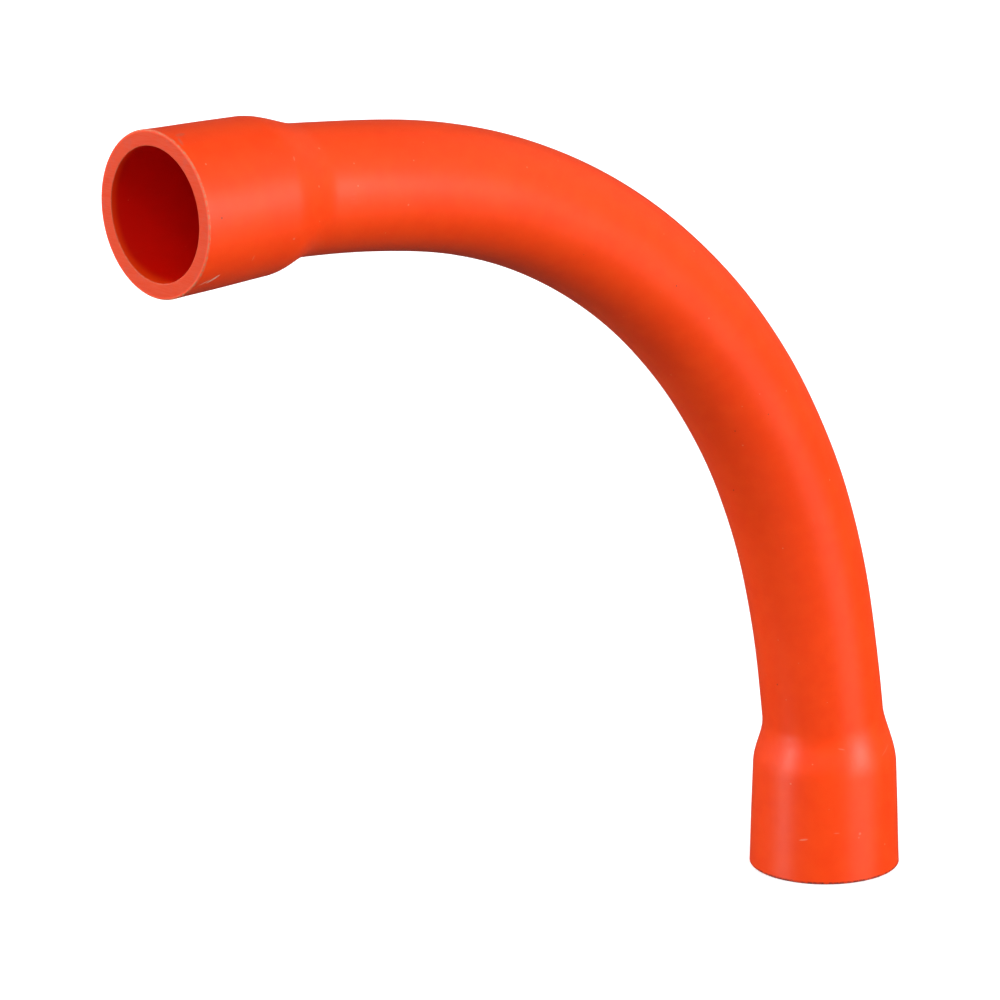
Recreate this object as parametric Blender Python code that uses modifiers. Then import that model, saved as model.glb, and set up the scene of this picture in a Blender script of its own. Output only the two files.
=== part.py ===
"""PVC conduit elbow: a 90 degree sweep bend with a belled socket at each end.

The real elbow is one length of extruded tube. Its two ends are softened and pushed over a mandrel, which
forms the sockets, and its middle is softened and bent round a former. The model is made in the same order:
a straight belled tube is turned, its middle is flattened slightly, and it is bent along a centreline. The
sockets stay straight, each neck gives a little by itself, and the rest of the angle is one eased bend.

Frame: the origin is the centre of the lower socket's mouth. +Z runs up the lower socket, and the bend turns
towards -X, so the mouth of the upper socket faces -X. Metres.
"""
import math

import bpy

# Driving dimensions, in metres
TUBE_OD = 0.0250            # outside diameter of the conduit that the elbow joins
TUBE_WALL = 0.0026
SOCKET_BORE = 0.0251        # the conduit slides in with a close fit
SOCKET_OD = 0.0297          # where the socket meets its shoulder
MOUTH_OD = 0.0311           # the socket flares slightly towards its mouth
SOCKET_DEPTH = 0.0215
SHOULDER_LENGTH = 0.0113    # the smooth step from socket to tube
OUTER_EDGE_BREAK = 0.0003   # chamfers left by deburring the sawn ends
INNER_EDGE_BREAK = 0.0002

BEND_ANGLE = math.radians(90)
LOWER_NECK_TURN = math.radians(7.1)     # the share of the angle that each neck turns, over its shoulder
UPPER_NECK_TURN = math.radians(4.9)
BEND_RADIUS = 0.1320        # of the centreline, in the middle of the bend
LOWER_EASING = 0.0510       # lengths past each socket over which the curvature builds up
UPPER_EASING = 0.0580
BEND_FLATTENING = 0.02      # the bent section is narrower in the bend's plane and wider across it
FLATTENING_EASING = 0.0200

# Fineness of the model
TURN_STEPS = 40             # sides of the round section
SHOULDER_STEPS = 6
BEND_STATION = 0.0062       # spacing of the rings along the bend
GUIDE_STATION = 0.0015      # spacing of the points of the centreline
MERGE_DISTANCE = 0.00001
SMOOTH_BELOW = math.radians(30)

# Length along the centreline that turns the whole angle
SWEPT_ANGLE = BEND_ANGLE - LOWER_NECK_TURN - UPPER_NECK_TURN
SWEPT_LENGTH = BEND_RADIUS * SWEPT_ANGLE + (LOWER_EASING + UPPER_EASING) / 2
TUBE_LENGTH = 2 * SOCKET_DEPTH + SWEPT_LENGTH

ORANGE_PVC = (0.90, 0.10, 0.025, 1.0)
PVC_ROUGHNESS = 0.38


def smooth_step(t):
    """Rise from 0 to 1 as t goes from 0 to 1, level at both ends."""
    t = min(max(t, 0.0), 1.0)
    return t * t * (3 - 2 * t)


def clear_scene():
    for obj in list(bpy.data.objects):
        bpy.data.objects.remove(obj, do_unlink=True)


def new_collection(name):
    collection = bpy.data.collections.new(name)
    bpy.context.scene.collection.children.link(collection)
    return collection


def socket_depth_at(z):
    """Distance of a station from the nearer mouth."""
    return min(z, TUBE_LENGTH - z)


def outer_radius(z):
    """Flared socket, then an S-shaped shoulder down to the tube."""
    depth = socket_depth_at(z)
    flare = (MOUTH_OD - SOCKET_OD) / 2 * max(0.0, 1 - depth / SOCKET_DEPTH)
    belled = 1 - smooth_step((depth - SOCKET_DEPTH) / SHOULDER_LENGTH)
    return TUBE_OD / 2 + belled * (SOCKET_OD / 2 + flare - TUBE_OD / 2)


def bore_radius(z):
    """Parallel socket bore, then the same shoulder down to the tube's bore, which stops the conduit."""
    tube_bore = TUBE_OD / 2 - TUBE_WALL
    belled = 1 - smooth_step((socket_depth_at(z) - SOCKET_DEPTH) / SHOULDER_LENGTH)
    return tube_bore + belled * (SOCKET_BORE / 2 - tube_bore)


def wall_stations():
    """Places along the straight tube where a ring is needed, between the two mouths."""
    shoulder = [SOCKET_DEPTH + SHOULDER_LENGTH * i / SHOULDER_STEPS for i in range(SHOULDER_STEPS + 1)]
    plain_length = TUBE_LENGTH - 2 * shoulder[-1]
    bays = math.ceil(plain_length / BEND_STATION)
    plain = [shoulder[-1] + plain_length * i / bays for i in range(1, bays)]
    far_shoulder = [TUBE_LENGTH - z for z in reversed(shoulder)]
    return shoulder + plain + far_shoulder


def wall_profile():
    """Closed section of the wall as (radius, z): down the outside, then up the bore."""
    stations = wall_stations()
    mouth_r = MOUTH_OD / 2
    bore_r = SOCKET_BORE / 2
    outside = [(mouth_r - OUTER_EDGE_BREAK, TUBE_LENGTH), (mouth_r, TUBE_LENGTH - OUTER_EDGE_BREAK)]
    outside += [(outer_radius(z), z) for z in reversed(stations)]
    outside += [(mouth_r, OUTER_EDGE_BREAK), (mouth_r - OUTER_EDGE_BREAK, 0.0)]
    bore = [(bore_r + INNER_EDGE_BREAK, 0.0), (bore_r, INNER_EDGE_BREAK)]
    bore += [(bore_radius(z), z) for z in stations]
    bore += [(bore_r, TUBE_LENGTH - INNER_EDGE_BREAK), (bore_r + INNER_EDGE_BREAK, TUBE_LENGTH)]
    return outside + bore


def neck_curvature(past_socket, turn):
    """Curvature that turns one neck by the given angle over the length of its shoulder."""
    t = min(max(past_socket / SHOULDER_LENGTH, 0.0), 1.0)
    return turn * 6 * t * (1 - t) / SHOULDER_LENGTH


def curvature(z):
    """Curvature of the centreline at a station: none in the sockets, and it eases in and out of the bend."""
    past_lower = z - SOCKET_DEPTH
    past_upper = TUBE_LENGTH - SOCKET_DEPTH - z
    easing = smooth_step(past_lower / LOWER_EASING) * smooth_step(past_upper / UPPER_EASING)
    necks = neck_curvature(past_lower, LOWER_NECK_TURN) + neck_curvature(past_upper, UPPER_NECK_TURN)
    return easing / BEND_RADIUS + necks


def centreline_points():
    """Points of the centreline from the lower mouth to the upper one, in the XZ plane."""
    steps = math.ceil(TUBE_LENGTH / GUIDE_STATION)
    ds = TUBE_LENGTH / steps
    x, z, turned = 0.0, 0.0, 0.0
    points = [(x, z)]
    for i in range(steps):
        half_turn = curvature((i + 0.5) * ds) * ds / 2
        x -= math.sin(turned + half_turn) * ds
        z += math.cos(turned + half_turn) * ds
        turned += 2 * half_turn
        points.append((x, z))
    return points


def make_centreline(collection):
    points = centreline_points()
    curve = bpy.data.curves.new("bend_centreline", "CURVE")
    curve.dimensions = "3D"
    curve.twist_mode = "MINIMUM"
    spline = curve.splines.new("POLY")
    spline.points.add(len(points) - 1)
    for point, (x, z) in zip(spline.points, points):
        point.co = (x, 0.0, z, 1.0)
    guide = bpy.data.objects.new("bend_centreline", curve)
    guide.hide_render = True
    collection.objects.link(guide)
    guide.display_type = "WIRE"
    return guide


def turned_tube(collection):
    """The straight belled tube, turned from its wall profile."""
    profile = wall_profile()
    mesh = bpy.data.meshes.new("belled_tube")
    edges = [(i, (i + 1) % len(profile)) for i in range(len(profile))]
    mesh.from_pydata([(r, 0.0, z) for r, z in profile], edges, [])
    tube = bpy.data.objects.new("belled_tube", mesh)
    collection.objects.link(tube)
    screw = tube.modifiers.new("turn", "SCREW")
    screw.axis = "Z"
    screw.angle = math.radians(360)
    screw.steps = TURN_STEPS
    screw.render_steps = TURN_STEPS
    screw.use_merge_vertices = True
    screw.merge_threshold = MERGE_DISTANCE
    depsgraph = bpy.context.evaluated_depsgraph_get()
    turned = bpy.data.meshes.new_from_object(tube.evaluated_get(depsgraph), depsgraph=depsgraph)
    tube.modifiers.clear()
    tube.data = turned
    bpy.data.meshes.remove(mesh)
    return tube


def flatten_bend(mesh):
    """Bending pulls the round section slightly oval, least near the sockets."""
    for vertex in mesh.vertices:
        past_socket = socket_depth_at(vertex.co.z) - SOCKET_DEPTH
        oval = smooth_step(past_socket / FLATTENING_EASING)
        vertex.co.x *= 1 - BEND_FLATTENING * oval
        vertex.co.y *= 1 + BEND_FLATTENING * oval


def pvc_material():
    material = bpy.data.materials.new("orange_pvc")
    material.use_nodes = True
    shader = material.node_tree.nodes["Principled BSDF"]
    shader.inputs["Base Color"].default_value = ORANGE_PVC
    shader.inputs["Roughness"].default_value = PVC_ROUGHNESS
    shader.inputs["Metallic"].default_value = 0.0
    material.diffuse_color = ORANGE_PVC
    return material


def make_sweep_bend(collection, guide):
    elbow = turned_tube(collection)
    elbow.name = "sweep_bend"
    elbow.data.name = "sweep_bend"
    flatten_bend(elbow.data)
    elbow.data.shade_smooth()
    elbow.data.set_sharp_from_angle(angle=SMOOTH_BELOW)
    elbow.data.materials.append(pvc_material())
    bend = elbow.modifiers.new("bend", "CURVE")
    bend.object = guide
    bend.deform_axis = "POS_Z"
    return elbow


def main():
    clear_scene()
    parts = new_collection("pvc_conduit_elbow")
    guides = new_collection("guides")
    guide = make_centreline(guides)
    make_sweep_bend(parts, guide)


main()
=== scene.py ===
"""PVC conduit elbow: the looks of a 90 degree sweep bend with a belled socket at each end.

The CAD node is a faceted solid, so one fine skin of the same dimensions stands for it. The skin is swept
along the same centreline, and its wall has rounded mouth edges, the upper one scuffed and the lower one
darkened with painted contact shadow, sawn end faces and a smooth bore.
"""
import math

import bpy
import numpy as np
from mathutils import Matrix, Vector


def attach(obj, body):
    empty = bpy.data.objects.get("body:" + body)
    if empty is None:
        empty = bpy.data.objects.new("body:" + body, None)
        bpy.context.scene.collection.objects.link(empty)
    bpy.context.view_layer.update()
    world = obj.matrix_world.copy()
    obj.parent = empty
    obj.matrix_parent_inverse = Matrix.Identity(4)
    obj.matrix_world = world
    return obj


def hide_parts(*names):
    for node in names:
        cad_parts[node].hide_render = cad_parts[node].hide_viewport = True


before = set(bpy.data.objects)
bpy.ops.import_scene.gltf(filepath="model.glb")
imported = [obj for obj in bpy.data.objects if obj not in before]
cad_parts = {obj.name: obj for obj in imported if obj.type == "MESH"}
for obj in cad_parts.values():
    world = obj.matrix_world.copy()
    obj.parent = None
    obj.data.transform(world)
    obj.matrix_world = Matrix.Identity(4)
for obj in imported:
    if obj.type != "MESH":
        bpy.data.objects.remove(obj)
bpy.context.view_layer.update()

# Dimensions of the CAD model, in metres
TUBE_OD = 0.0250
TUBE_WALL = 0.0026
SOCKET_BORE = 0.0251
SOCKET_OD = 0.0297
MOUTH_OD = 0.0311
SOCKET_DEPTH = 0.0215
SHOULDER_LENGTH = 0.0113
BEND_ANGLE = math.radians(90)
LOWER_NECK_TURN = math.radians(7.1)
UPPER_NECK_TURN = math.radians(4.9)
BEND_RADIUS = 0.1320
LOWER_EASING = 0.0510
UPPER_EASING = 0.0580
BEND_FLATTENING = 0.02
FLATTENING_EASING = 0.0200
SWEPT_ANGLE = BEND_ANGLE - LOWER_NECK_TURN - UPPER_NECK_TURN
TUBE_LENGTH = 2 * SOCKET_DEPTH + BEND_RADIUS * SWEPT_ANGLE + (LOWER_EASING + UPPER_EASING) / 2

# Details that only the skin has
OUTER_EDGE_RADIUS = 0.00030
INNER_EDGE_RADIUS = 0.00020
EDGE_STEPS = 6
FACE_STEPS = 8
SIDES = 160
SOCKET_STATION = 0.0007
BEND_STATION = 0.0013
BORE_STATION = 0.0022
WAVINESS = 0.00004          # how far heating and forming leave the wall from true

# The photographed view
CAMERA_AZIMUTH = -42.21
CAMERA_ELEVATION = 15.41
CAMERA_ROLL = -0.69
CAMERA_DISTANCE = 1.0635
CAMERA_TARGET = Vector((-0.0792, 0.0119, 0.0909))
CAMERA_LENS = 195.2

# Studio
LIGHT_CENTRE = Vector((-0.075, 0.0, 0.085))
LAMP_DISTANCE = 1.2
WORLD_FILL = 0.07
WORLD_BACKDROP = 1.0
FLOOR_GLOW_NEAR = 0.55      # the floor brightens away from the lamps' pool of light
FLOOR_GLOW_FAR = 0.85

# Lamps: name, azimuth, elevation, size, power, and whether the gloss mirrors it. The two softboxes and their
# dim images in the table top below them draw the highlights. The fills only light the colour.
LAMPS = [
    ("right_softbox", 20.0, 13.5, (0.37, 0.33), 3.3, True),
    ("right_table_glow", 17.0, -13.0, (0.90, 0.90), 1.6, True),
    ("left_softbox", -108.0, 12.0, (0.29, 0.15), 1.95, True),
    ("left_table_glow", -112.0, -15.0, (0.48, 0.22), 1.1, True),
    ("back_fill", 135.0, 12.0, (1.0, 1.0), 4.5, False),
    ("far_left_softbox", -170.0, 35.0, (0.50, 0.50), 2.4, True),
    ("right_fill", 20.0, 12.0, (1.0, 1.0), 12.0, False),
    ("left_fill", -115.0, 10.0, (1.0, 1.0), 10.0, False),
    ("front_fill", -50.0, 40.0, (1.0, 1.0), 6.2, False),
    ("high_fill", 20.0, 50.0, (1.0, 1.0), 3.2, False),
    ("low_fill", -50.0, -45.0, (1.0, 1.0), 1.0, False),
    ("far_left_fill", -165.0, 15.0, (1.0, 1.0), 3.5, False),
    ("far_right_fill", 90.0, 20.0, (1.0, 1.0), 4.8, False),
]


# ---------------------------------------------------------------- shape

def smooth_step(t):
    t = np.clip(t, 0.0, 1.0)
    return t * t * (3 - 2 * t)


def depth_from_mouth(s):
    return np.minimum(s, TUBE_LENGTH - s)


def belled(s):
    """1 in the sockets, 0 in the tube, and an S between them."""
    return 1 - smooth_step((depth_from_mouth(s) - SOCKET_DEPTH) / SHOULDER_LENGTH)


def outer_radius(s):
    flare = (MOUTH_OD - SOCKET_OD) / 2 * np.maximum(0.0, 1 - depth_from_mouth(s) / SOCKET_DEPTH)
    return TUBE_OD / 2 + belled(s) * (SOCKET_OD / 2 + flare - TUBE_OD / 2)


def bore_radius(s):
    tube_bore = TUBE_OD / 2 - TUBE_WALL
    return tube_bore + belled(s) * (SOCKET_BORE / 2 - tube_bore)


def neck_curvature(past_socket, turn):
    """Curvature that turns one neck by the given angle over the length of its shoulder."""
    t = np.clip(past_socket / SHOULDER_LENGTH, 0.0, 1.0)
    return turn * 6 * t * (1 - t) / SHOULDER_LENGTH


def centreline(stations):
    """Position and turned angle of the centreline at each station, in the XZ plane."""
    steps = 4000
    s = np.linspace(0, TUBE_LENGTH, steps + 1)
    past_lower = s - SOCKET_DEPTH
    past_upper = TUBE_LENGTH - SOCKET_DEPTH - s
    easing = smooth_step(past_lower / LOWER_EASING) * smooth_step(past_upper / UPPER_EASING)
    necks = neck_curvature(past_lower, LOWER_NECK_TURN) + neck_curvature(past_upper, UPPER_NECK_TURN)
    curvature = easing / BEND_RADIUS + necks
    ds = TUBE_LENGTH / steps

    def running_sum(values):
        return np.concatenate([[0.0], np.cumsum((values[1:] + values[:-1]) / 2 * ds)])

    turned = running_sum(curvature)
    x = running_sum(-np.sin(turned))
    z = running_sum(np.cos(turned))
    return [np.interp(stations, s, values) for values in (x, z, turned)]


def wall_rings():
    """The wall's closed section as rings of (station, radius, kind), down the outside and up the bore.

    kind is 0 on the outside, 1 on the sawn end faces and 2 in the bore. The mouth edges are quarter rounds.
    """
    mouth_r = MOUTH_OD / 2
    bore_r = SOCKET_BORE / 2

    def spaced(start, end, spacing):
        return list(np.linspace(start, end, max(2, math.ceil(abs(end - start) / spacing) + 1)))

    form_end = SOCKET_DEPTH + SHOULDER_LENGTH
    half = spaced(OUTER_EDGE_RADIUS, form_end, SOCKET_STATION)
    middle = spaced(form_end, TUBE_LENGTH - form_end, BEND_STATION)[1:-1]
    outside = half + middle + [TUBE_LENGTH - s for s in reversed(half)]
    bore_half = spaced(INNER_EDGE_RADIUS, form_end, BORE_STATION)
    bore_middle = spaced(form_end, TUBE_LENGTH - form_end, 2 * BORE_STATION)[1:-1]
    bore = bore_half + bore_middle + [TUBE_LENGTH - s for s in reversed(bore_half)]

    turns = [math.pi / 2 * i / EDGE_STEPS for i in range(1, EDGE_STEPS + 1)]
    outer_edge = [(OUTER_EDGE_RADIUS * (1 - math.sin(t)), mouth_r - OUTER_EDGE_RADIUS * (1 - math.cos(t)))
                  for t in turns]
    inner_edge = [(INNER_EDGE_RADIUS * (1 - math.cos(t)), bore_r + INNER_EDGE_RADIUS * (1 - math.sin(t)))
                  for t in turns[:-1]]
    face = np.linspace(mouth_r - OUTER_EDGE_RADIUS, bore_r + INNER_EDGE_RADIUS, FACE_STEPS + 1)[1:]

    lower_end = [(s, r, 0) for s, r in outer_edge]
    lower_end += [(0.0, r, 1) for r in face]
    lower_end += [(s, r, 1) for s, r in inner_edge]
    upper_end = [(TUBE_LENGTH - s, r, kind) for s, r, kind in reversed(lower_end)]
    rings = [(s, float(outer_radius(s)), 0) for s in reversed(outside)]
    rings += lower_end
    rings += [(s, float(bore_radius(s)), 2) for s in bore]
    rings += upper_end
    return rings


def waviness(s, angle):
    """A slow, small unevenness of the formed wall."""
    slow = np.sin(s * 95 + 1.3 * np.sin(angle + 0.4)) * np.cos(angle * 2 + s * 30)
    quick = 0.5 * np.sin(s * 260 + 2.0 * np.cos(angle)) * np.cos(angle * 3 - 1.0)
    return WAVINESS * (slow + quick)


def make_skin():
    rings = wall_rings()
    s = np.array([ring[0] for ring in rings])[:, None]
    radius = np.array([ring[1] for ring in rings])[:, None]
    kind = np.array([ring[2] for ring in rings])[:, None]
    angle = (np.arange(SIDES) / SIDES * 2 * math.pi)[None, :]

    oval = BEND_FLATTENING * smooth_step((depth_from_mouth(s) - SOCKET_DEPTH) / FLATTENING_EASING)
    away_from_ends = smooth_step(depth_from_mouth(s) / 0.003)
    formed = radius + waviness(s, angle) * away_from_ends * (kind == 0)
    # angle 0 is the outside of the bend, 90 degrees is +Y
    outward = formed * (1 - oval) * np.cos(angle)
    across = formed * (1 + oval) * np.sin(angle)

    x, z, turned = centreline(s[:, 0])
    turned = turned[:, None]
    places = np.stack([
        x[:, None] + outward * np.cos(turned),
        across,
        z[:, None] + outward * np.sin(turned),
    ], axis=2).reshape(-1, 3)

    ring_index = np.arange(len(rings))[:, None]
    side_index = np.arange(SIDES)[None, :]
    next_ring = (ring_index + 1) % len(rings)
    next_side = (side_index + 1) % SIDES
    corners = [ring_index * SIDES + side_index, ring_index * SIDES + next_side,
               next_ring * SIDES + next_side, next_ring * SIDES + side_index]
    faces = np.stack(np.broadcast_arrays(*corners), axis=2).reshape(-1, 4)

    mesh = bpy.data.meshes.new("elbow")
    mesh.from_pydata(places.tolist(), [], faces.tolist())
    mesh.shade_smooth()

    straight = np.stack(np.broadcast_arrays(outward, across, s + 0 * outward), axis=2).reshape(-1, 3)
    store = mesh.attributes.new("straight", "FLOAT_VECTOR", "POINT")
    store.data.foreach_set("vector", straight.ravel())
    store_point_values(mesh, "end_face", np.broadcast_to(kind == 1, outward.shape))
    depth_in_bore = np.where(kind == 2, depth_from_mouth(s), 0.0)
    store_point_values(mesh, "depth_in_bore", np.broadcast_to(depth_in_bore, outward.shape))
    to_outer_edge = np.hypot(depth_from_mouth(s), MOUTH_OD / 2 - radius)
    to_outer_edge = np.where(kind == 2, 1.0, to_outer_edge)
    store_point_values(mesh, "outer_edge", np.broadcast_to(to_outer_edge, outward.shape))
    to_inner_edge = np.hypot(depth_from_mouth(s), radius - SOCKET_BORE / 2)
    to_inner_edge = np.where(kind == 0, 1.0, to_inner_edge)
    store_point_values(mesh, "inner_edge", np.broadcast_to(to_inner_edge, outward.shape))
    store_tube_map(mesh, s, angle)

    elbow = bpy.data.objects.new("elbow", mesh)
    bpy.context.scene.collection.objects.link(elbow)
    return elbow


def store_point_values(mesh, name, values):
    attribute = mesh.attributes.new(name, "FLOAT", "POINT")
    attribute.data.foreach_set("value", np.ascontiguousarray(values, dtype=np.float32).ravel())


def around_tube(angle):
    """Distance round the tube from the tube map's seam, which is on the far side."""
    seam = math.pi / 2
    return np.mod(angle - seam, 2 * math.pi) * TUBE_OD / 2


def store_tube_map(mesh, s, angle):
    """A UV map that unrolls the tube, in metres: u along it and v around it."""
    u = np.broadcast_to(s, (s.shape[0], SIDES))
    v = np.broadcast_to(around_tube(angle), (s.shape[0], SIDES))
    next_v = np.roll(v, -1, axis=1)
    next_v = np.where(next_v < v, next_v + math.pi * TUBE_OD, next_v)
    next_u = np.roll(u, -1, axis=0)
    corners_u = [u, u, next_u, next_u]
    corners_v = [v, next_v, next_v, v]
    layer = mesh.uv_layers.new(name="tube")
    pairs = [np.stack([cu, cv], axis=2) for cu, cv in zip(corners_u, corners_v)]
    layer.data.foreach_set("uv", np.stack(pairs, axis=2).astype(np.float32).ravel())


# ---------------------------------------------------------------- materials

class Shader:
    """A small helper that adds nodes to a material and links them."""

    def __init__(self, name):
        self.material = bpy.data.materials.new(name)
        self.material.use_nodes = True
        self.tree = self.material.node_tree
        self.surface = self.tree.nodes["Principled BSDF"]

    def put(self, socket, value):
        if isinstance(value, bpy.types.NodeSocket):
            self.tree.links.new(value, socket)
        else:
            socket.default_value = value

    def node(self, kind, settings=None, **inputs):
        node = self.tree.nodes.new(kind)
        for key, value in (settings or {}).items():
            setattr(node, key, value)
        for key, value in inputs.items():
            self.put(node.inputs[key.replace("_", " ")], value)
        return node

    def math(self, operation, a, b=0.0, c=0.0, clamp=False):
        node = self.tree.nodes.new("ShaderNodeMath")
        node.operation = operation
        node.use_clamp = clamp
        for socket, value in zip(node.inputs, (a, b, c)):
            self.put(socket, value)
        return node.outputs[0]

    def vector(self, operation, a, b=(0.0, 0.0, 0.0)):
        node = self.tree.nodes.new("ShaderNodeVectorMath")
        node.operation = operation
        self.put(node.inputs[0], a)
        self.put(node.inputs[1], b)
        return node.outputs["Vector"]

    def dot(self, a, b):
        node = self.tree.nodes.new("ShaderNodeVectorMath")
        node.operation = "DOT_PRODUCT"
        self.put(node.inputs[0], a)
        self.put(node.inputs[1], b)
        return node.outputs["Value"]

    def attribute(self, name, output="Fac"):
        return self.node("ShaderNodeAttribute", {"attribute_name": name}).outputs[output]

    def noise(self, vector, scale, detail=2.0, roughness=0.5):
        node = self.node("ShaderNodeTexNoise", Vector=vector, Scale=scale, Detail=detail, Roughness=roughness)
        return node.outputs["Fac"]

    def ramp(self, value, low, high, smooth=True):
        """0 below low and 1 above high; low may be the larger one."""
        node = self.node("ShaderNodeMapRange", {"interpolation_type": "SMOOTHSTEP" if smooth else "LINEAR"})
        for key, setting in (("Value", value), ("From Min", low), ("From Max", high)):
            self.put(node.inputs[key], setting)
        return node.outputs["Result"]

    def mix_colour(self, factor, a, b):
        node = self.node("ShaderNodeMix", {"data_type": "RGBA"})
        self.put(node.inputs[0], factor)
        self.put(node.inputs[6], a)
        self.put(node.inputs[7], b)
        return node.outputs[2]

    def mix_value(self, factor, a, b):
        node = self.node("ShaderNodeMix", {"data_type": "FLOAT"})
        self.put(node.inputs[0], factor)
        self.put(node.inputs[2], a)
        self.put(node.inputs[3], b)
        return node.outputs[0]

    def scattered(self, plane, cells_per_metre, radius, share, seed):
        """Round specks, one in some of the cells of a scattered pattern on a 2D map in metres."""
        shifted = self.vector("ADD", plane, (seed * 0.37, seed * 0.11, 0.0))
        cells = self.node("ShaderNodeTexVoronoi", {"voronoi_dimensions": "2D", "feature": "F1"},
                          Vector=shifted, Scale=cells_per_metre)
        lottery = self.node("ShaderNodeSeparateColor", Color=cells.outputs["Color"])
        drawn = self.math("LESS_THAN", lottery.outputs[0], share)
        size = self.math("MULTIPLY", lottery.outputs[1], radius * cells_per_metre)
        inside = self.math("LESS_THAN", cells.outputs["Distance"], size)
        return self.math("MULTIPLY", drawn, inside)


# Colours
WHITE = (1.0, 1.0, 1.0, 1.0)
ORANGE = (0.89, 0.058, 0.0030, 1.0)
ORANGE_DEEPER = (0.86, 0.050, 0.0020, 1.0)
# painted shade: the darker red deep in the bore
BORE_PAINTED_SHADE = (0.71, 0.0048, 0.0003, 1.0)
SAWN = (0.67, 0.042, 0.003, 1.0)
SAWN_GREYED = (0.58, 0.075, 0.045, 1.0)
SCUFFED = (0.72, 0.12, 0.06, 1.0)
EDGE_WORN = (0.63, 0.19, 0.095, 1.0)
# painted contact shadow on the lower mouth edge, which stands on the floor
EDGE_PAINTED_SHADOW = (0.16, 0.016, 0.010, 1.0)
DUST = (0.90, 0.30, 0.18, 1.0)
SOOT = (0.30, 0.035, 0.012, 1.0)
PALE_MARK = (0.88, 0.26, 0.17, 1.0)
DEEP_SCRATCH = (0.78, 0.42, 0.30, 1.0)
GREY_MARK = (0.62, 0.12, 0.075, 1.0)

# How deep in the bore the painted shade starts to deepen its colour, and by where it has, on the dark side
# and on the lit one
BORE_DEEPENS_FROM = 0.0002
BORE_DEEPENS_OVER = 0.0019
BORE_DEEPENS_FURTHEST = 0.0046
AWAY_FROM_LIT_SIDE = (0.85, 0.53, 0.0)

# Fineness of the noises, in features per metre
CLOUDS = 55.0
MOTTLE = 300.0
DIE_LINES = 1500.0
GRAIN = 2600.0
RUBBED_PATCHES = 190.0
RUBBED_LINES = 3200.0
SAW_LINES = 5200.0
SMEARS = 420.0
CHIPPING = 1300.0
STRETCHED_ALONG = (1.0, 1.0, 0.03)      # draws a noise out along the tube
STRETCHED_ACROSS = (1.0, 0.06, 1.0)     # draws it out along the saw's stroke, which is +Y

# Roughness
SATIN_LOW = 0.34
SATIN_HIGH = 0.40
RUBBED_ROUGHNESS = 0.55
SAWN_ROUGHNESS = 0.72

# Single marks: mouth, depth from it, angle in degrees, length, width, tilt, strength, colour. The tilt is the
# angle between the mark and the line that runs straight into the tube.
MARKS = [
    ("upper", 0.0041, -134, 0.0028, 0.00056, 35, 1.00, DEEP_SCRATCH),
    ("upper", 0.0024, -136, 0.0022, 0.00034, 25, 0.60, DEEP_SCRATCH),
    ("upper", 0.0120, -121, 0.0011, 0.00030, 85, 0.40, PALE_MARK),
    ("upper", 0.0030, -16, 0.0026, 0.00090, 10, 0.45, GREY_MARK),
    ("upper", 0.0030, -47, 0.0004, 0.00035, 0, 0.60, PALE_MARK),
    ("upper", 0.0014, -24, 0.0022, 0.00060, 70, 0.55, GREY_MARK),
    ("upper", 0.0030, -85, 0.0005, 0.00045, 0, 0.85, SOOT),
    ("upper", 0.0210, -112, 0.0005, 0.00040, 0, 0.60, PALE_MARK),
    ("upper", 0.0230, -54, 0.0009, 0.00030, 70, 0.50, PALE_MARK),
    ("upper", 0.0310, -43, 0.0005, 0.00045, 0, 0.60, PALE_MARK),
    ("upper", 0.0500, -98, 0.0004, 0.00040, 0, 0.60, PALE_MARK),
    ("lower", 0.0094, -152, 0.0017, 0.00040, 76, 0.65, PALE_MARK),
    ("lower", 0.0110, -126, 0.0011, 0.00028, 90, 0.35, PALE_MARK),
    ("lower", 0.0104, -107, 0.0006, 0.00050, 0, 0.45, PALE_MARK),
    ("lower", 0.0096, -108, 0.0004, 0.00035, 0, 0.35, PALE_MARK),
    ("lower", 0.0290, -120, 0.0016, 0.00026, 110, 0.35, PALE_MARK),
    ("lower", 0.0260, -72, 0.0040, 0.00026, 70, 0.25, PALE_MARK),
]


def marked(shader, tube_map, colour, on_outside):
    """The surface colour with the single scratches and specks laid over it, on the outside only."""
    for mouth, depth, angle, length, width, tilt, strength, paint in MARKS:
        into_tube = 1 if mouth == "lower" else -1
        station = depth if mouth == "lower" else TUBE_LENGTH - depth
        place = (station, around_tube(math.radians(angle)), 0.0)
        offset = shader.vector("SUBTRACT", tube_map, place)
        cos, sin = math.cos(math.radians(tilt)), math.sin(math.radians(tilt))
        along = shader.dot(offset, (into_tube * cos / length * 2, sin / length * 2, 0.0))
        across = shader.dot(offset, (-into_tube * sin / width * 2, cos / width * 2, 0.0))
        along_squared = shader.math("MULTIPLY", along, along)
        across_squared = shader.math("MULTIPLY", across, across)
        reach = shader.math("ADD", along_squared, across_squared)
        mark = shader.math("MULTIPLY", shader.ramp(reach, 1.3, 0.3), strength)
        mark = shader.math("MULTIPLY", mark, on_outside)
        colour = shader.mix_colour(mark, colour, paint)
    return colour


def compound_colour(shader, straight):
    """The orange of the compound, slightly uneven."""
    clouds = shader.math("MULTIPLY", shader.noise(straight, CLOUDS, 3.0), 0.5)
    mottle = shader.math("MULTIPLY", shader.noise(straight, MOTTLE, 3.0), 0.5)
    uneven = shader.math("ADD", clouds, mottle)
    return shader.mix_colour(shader.ramp(uneven, 0.38, 0.62), ORANGE, ORANGE_DEEPER)


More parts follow.
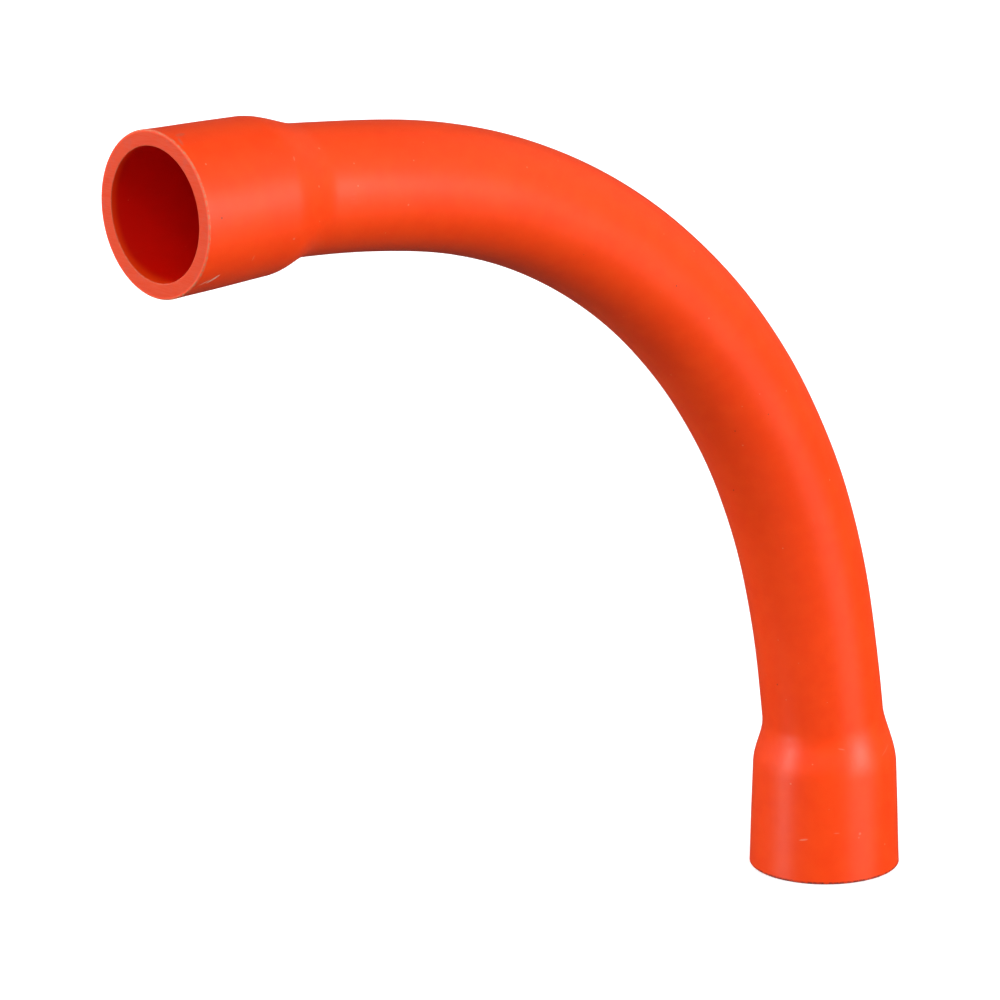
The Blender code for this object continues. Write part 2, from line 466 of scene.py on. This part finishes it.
def painted_bore_shade(shader, straight, depth_in_bore, colour):
    """Painted shade in the bore: its colour deepens to a darker red in place of the light that each bounce in
    the bore reddens and dims. The painted shade reaches furthest in on the lit side.
    """
    away = shader.ramp(shader.dot(straight, AWAY_FROM_LIT_SIDE), -TUBE_OD / 2, -0.0010)
    reach = shader.mix_value(away, BORE_DEEPENS_FURTHEST, BORE_DEEPENS_OVER)
    deep = shader.ramp(depth_in_bore, BORE_DEEPENS_FROM, reach)
    return shader.mix_colour(deep, colour, BORE_PAINTED_SHADE)


def sawn_colour(shader, straight, saw_lines):
    """The matte end faces: fine lines left by the saw, under greyish smears."""
    lined = shader.mix_colour(shader.ramp(saw_lines, 0.3, 0.7), SAWN, SCUFFED)
    faint = shader.mix_colour(0.75, lined, SAWN)
    smeared = shader.ramp(shader.noise(straight, SMEARS, 4.0, 0.65), 0.50, 0.72)
    return shader.mix_colour(shader.math("MULTIPLY", smeared, 0.55), faint, SAWN_GREYED)


def edge_wear_and_painted_shade(shader, straight, at_upper_end):
    """Mask of the mouth edges: worn on the upper mouth, painted contact shadow on the lower one. The outer
    edge least on its +Y side, the inner one only faintly.
    """
    chipped = shader.noise(straight, CHIPPING, 4.0, 0.7)
    # the painted contact shadow on the lower edge reaches further than the wear on the upper one
    closeness = shader.mix_value(at_upper_end, 0.65, 1.0)
    to_edge = shader.math("MULTIPLY", shader.attribute("outer_edge"), closeness)
    outer = shader.math("MULTIPLY", shader.ramp(to_edge, 0.00044, 0.00018),
                        shader.mix_value(shader.ramp(chipped, 0.42, 0.60), 0.30, 1.00))
    across = shader.node("ShaderNodeSeparateXYZ", Vector=straight).outputs["Y"]
    rubbed_side = shader.mix_value(shader.ramp(across, 0.011, 0.002), 0.3, 1.0)
    outer = shader.math("MULTIPLY", outer, rubbed_side)
    inner = shader.math("MULTIPLY", shader.ramp(shader.attribute("inner_edge"), 0.00026, 0.00008),
                        shader.mix_value(shader.ramp(chipped, 0.40, 0.60), 0.10, 0.45))
    return shader.math("MAXIMUM", outer, inner)


def pvc_material():
    shader = Shader("orange_pvc_skin")
    straight = shader.attribute("straight", "Vector")
    tube_map = shader.node("ShaderNodeUVMap", {"uv_map": "tube"}).outputs["UV"]
    end_face = shader.attribute("end_face")
    depth_in_bore = shader.attribute("depth_in_bore")
    on_outside = shader.math("LESS_THAN", depth_in_bore, 0.00001)
    station = shader.node("ShaderNodeSeparateXYZ", Vector=tube_map).outputs["X"]
    at_upper_end = shader.ramp(station, 0.001, 0.002)

    colour = compound_colour(shader, straight)
    # painted shade deepens the colour inside the bore
    colour = painted_bore_shade(shader, straight, depth_in_bore, colour)

    # faint lines drawn along the tube as it left the die, and a fine grain
    drawn_out = shader.vector("MULTIPLY", straight, STRETCHED_ALONG)
    die_lines = shader.noise(drawn_out, DIE_LINES, 2.0)
    grain = shader.noise(straight, GRAIN, 2.0)

    # dust, soot, rubbed patches and single marks
    dust = shader.scattered(tube_map, 210.0, 0.00020, 0.16, 1.0)
    soot = shader.scattered(tube_map, 120.0, 0.00022, 0.10, 2.0)
    patch = shader.ramp(shader.noise(straight, RUBBED_PATCHES, 4.0, 0.6), 0.62, 0.78)
    strokes = shader.ramp(shader.noise(drawn_out, RUBBED_LINES, 3.0), 0.5, 0.7)
    rubbed = shader.math("MULTIPLY", patch, strokes)
    colour = shader.mix_colour(shader.math("MULTIPLY", rubbed, 0.35), colour, SCUFFED)
    colour = shader.mix_colour(shader.math("MULTIPLY", dust, 0.45), colour, DUST)
    colour = shader.mix_colour(shader.math("MULTIPLY", soot, 0.8), colour, SOOT)
    colour = marked(shader, tube_map, colour, on_outside)

    # sawn end faces, and mouth edges: the upper one worn pale, the lower one darkened with painted contact
    # shadow
    saw_lines = shader.noise(shader.vector("MULTIPLY", straight, STRETCHED_ACROSS), SAW_LINES, 2.0)
    colour = shader.mix_colour(end_face, colour, sawn_colour(shader, straight, saw_lines))
    worn_and_shaded = edge_wear_and_painted_shade(shader, straight, at_upper_end)
    edge = shader.mix_colour(at_upper_end, EDGE_PAINTED_SHADOW, EDGE_WORN)
    colour = shader.mix_colour(worn_and_shaded, colour, edge)

    roughness = shader.mix_value(shader.ramp(grain, 0.3, 0.7), SATIN_LOW, SATIN_HIGH)
    roughness = shader.mix_value(rubbed, roughness, RUBBED_ROUGHNESS)
    roughness = shader.mix_value(shader.math("MAXIMUM", end_face, worn_and_shaded), roughness, SAWN_ROUGHNESS)

    relief = shader.math("MULTIPLY", die_lines, 0.5)
    relief = shader.math("ADD", relief, shader.math("MULTIPLY", grain, 0.5))
    relief = shader.math("ADD", relief, shader.math("MULTIPLY", dust, 4.0))
    relief = shader.mix_value(end_face, relief, shader.math("MULTIPLY", saw_lines, 6.0))
    bump = shader.node("ShaderNodeBump", Height=relief, Strength=0.35, Distance=0.00001)

    surface = shader.surface
    shader.put(surface.inputs["Base Color"], colour)
    shader.put(surface.inputs["Roughness"], roughness)
    shader.put(surface.inputs["Normal"], bump.outputs["Normal"])
    surface.inputs["IOR"].default_value = 1.54
    surface.inputs["Subsurface Weight"].default_value = 0.15
    surface.inputs["Subsurface Radius"].default_value = (1.0, 0.25, 0.08)
    surface.inputs["Subsurface Scale"].default_value = 0.0020
    return shader.material


def floor_material():
    shader = Shader("pale_floor")
    place = shader.node("ShaderNodeTexCoord").outputs["Object"]
    tone = shader.noise(place, 6.0, 3.0)
    colour = shader.mix_colour(tone, (0.80, 0.80, 0.80, 1.0), (0.82, 0.82, 0.82, 1.0))
    shader.put(shader.surface.inputs["Base Color"], colour)
    shader.surface.inputs["Roughness"].default_value = 0.7
    shader.surface.inputs["Emission Color"].default_value = WHITE
    distance = shader.node("ShaderNodeVectorMath", {"operation": "LENGTH"})
    shader.put(distance.inputs[0], place)
    glow = shader.mix_value(shader.ramp(distance.outputs["Value"], 0.2, 1.6), FLOOR_GLOW_NEAR, FLOOR_GLOW_FAR)
    shader.put(shader.surface.inputs["Emission Strength"], glow)
    return shader.material


# ---------------------------------------------------------------- studio

def direction(azimuth, elevation):
    """Unit vector towards a place seen from the object; azimuth 0 is -Y, and 90 is +X."""
    a = math.radians(azimuth)
    e = math.radians(elevation)
    return Vector((math.sin(a) * math.cos(e), -math.cos(a) * math.cos(e), math.sin(e)))


def make_camera():
    camera = bpy.data.objects.new("camera", bpy.data.cameras.new("camera"))
    bpy.context.scene.collection.objects.link(camera)
    camera.data.lens = CAMERA_LENS
    camera.data.sensor_width = 36.0
    camera.data.clip_start = 0.01
    camera.data.clip_end = 50.0
    back = direction(CAMERA_AZIMUTH, CAMERA_ELEVATION)
    level = direction(CAMERA_AZIMUTH + 90, 0.0)
    right = Matrix.Rotation(math.radians(CAMERA_ROLL), 3, back) @ level
    up = back.cross(right)
    turn = Matrix((right, up, back)).transposed().to_4x4()
    camera.matrix_world = Matrix.Translation(CAMERA_TARGET + back * CAMERA_DISTANCE) @ turn
    bpy.context.scene.camera = camera


def make_floor():
    extent = 8.0
    mesh = bpy.data.meshes.new("floor")
    corners = [(-extent, -extent, 0.0), (extent, -extent, 0.0), (extent, extent, 0.0), (-extent, extent, 0.0)]
    mesh.from_pydata(corners, [], [(0, 1, 2, 3)])
    mesh.materials.append(floor_material())
    floor = bpy.data.objects.new("floor", mesh)
    floor.location.z = -0.0001
    # the floor takes the elbow's shadow, but neither lights the elbow nor hides the low lamps from it
    floor.visible_diffuse = False
    floor.visible_glossy = False
    floor.visible_shadow = False
    bpy.context.scene.collection.objects.link(floor)


def make_softbox(name, azimuth, elevation, size, power, mirrored):
    """A soft lamp aimed at the elbow. One that isn't mirrored lights it without a highlight of its own."""
    data = bpy.data.lights.new(name, "AREA")
    data.shape = "RECTANGLE"
    data.size, data.size_y = size
    data.energy = power
    lamp = bpy.data.objects.new(name, data)
    towards = direction(azimuth, elevation)
    lamp.location = LIGHT_CENTRE + towards * LAMP_DISTANCE
    lamp.rotation_euler = towards.to_track_quat("Z", "Y").to_euler()
    lamp.visible_camera = False
    lamp.visible_glossy = mirrored
    bpy.context.scene.collection.objects.link(lamp)


def make_world():
    """Dim even light on the elbow, and a white backdrop for the eye."""
    world = bpy.data.worlds.new("studio")
    world.use_nodes = True
    tree = world.node_tree
    path = tree.nodes.new("ShaderNodeLightPath")
    fill = tree.nodes["Background"]
    backdrop = tree.nodes.new("ShaderNodeBackground")
    for background, strength in ((fill, WORLD_FILL), (backdrop, WORLD_BACKDROP)):
        background.inputs["Color"].default_value = WHITE
        background.inputs["Strength"].default_value = strength
    mix = tree.nodes.new("ShaderNodeMixShader")
    tree.links.new(path.outputs["Is Camera Ray"], mix.inputs[0])
    tree.links.new(fill.outputs[0], mix.inputs[1])
    tree.links.new(backdrop.outputs[0], mix.inputs[2])
    tree.links.new(mix.outputs[0], tree.nodes["World Output"].inputs["Surface"])
    bpy.context.scene.world = world


def make_light():
    make_world()
    for name, azimuth, elevation, size, power, mirrored in LAMPS:
        make_softbox(name, azimuth, elevation, size, power, mirrored)
    bpy.context.scene.view_settings.view_transform = "Standard"


# ---------------------------------------------------------------- build

make_camera()
elbow = make_skin()
elbow.data.materials.append(pvc_material())
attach(elbow, "root")
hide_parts("sweep_bend")
make_floor()
make_light()
